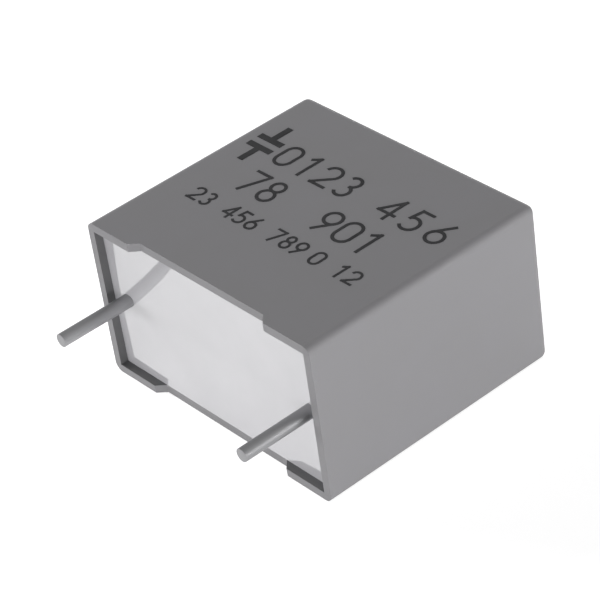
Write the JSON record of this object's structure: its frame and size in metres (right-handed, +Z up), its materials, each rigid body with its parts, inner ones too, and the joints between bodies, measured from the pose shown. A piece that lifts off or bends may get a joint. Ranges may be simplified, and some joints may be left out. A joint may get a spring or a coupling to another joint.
{
  "type": "box film capacitor",
  "caption": "Radial film capacitor in a grey moulded box with corner feet, a dished resin fill and straight round wire leads.",
  "frame": {"origin": "middle of the whole part's footprint, on the surface that it lies on", "axes": "+X along the body's length from one lead to the other, +Y from the lead tips to the closed top of the case, +Z up through the marked broad face"},
  "size_m": [0.018, 0.02, 0.01],
  "materials": {
    "case": "moulded thermoplastic, satin, fine even grain",
    "resin": "cast epoxy, off-white, poured and left glossy",
    "winding": "metallised film, silvery, wound and pressed flat",
    "cover_film": "plain clear film, smooth",
    "end_spray": "sprayed zinc, matt and granular",
    "lead": "tinned wire, satin, drawn lines along its length, sheared ends"
  },
  "bodies": {
    "root": {"case": "case", "potting_resin": "resin", "film_winding": "winding", "cover_film": "cover_film", "end_spray_left": "end_spray", "end_spray_right": "end_spray", "lead_left": "lead", "lead_right": "lead"}
  },
  "joints": []
}
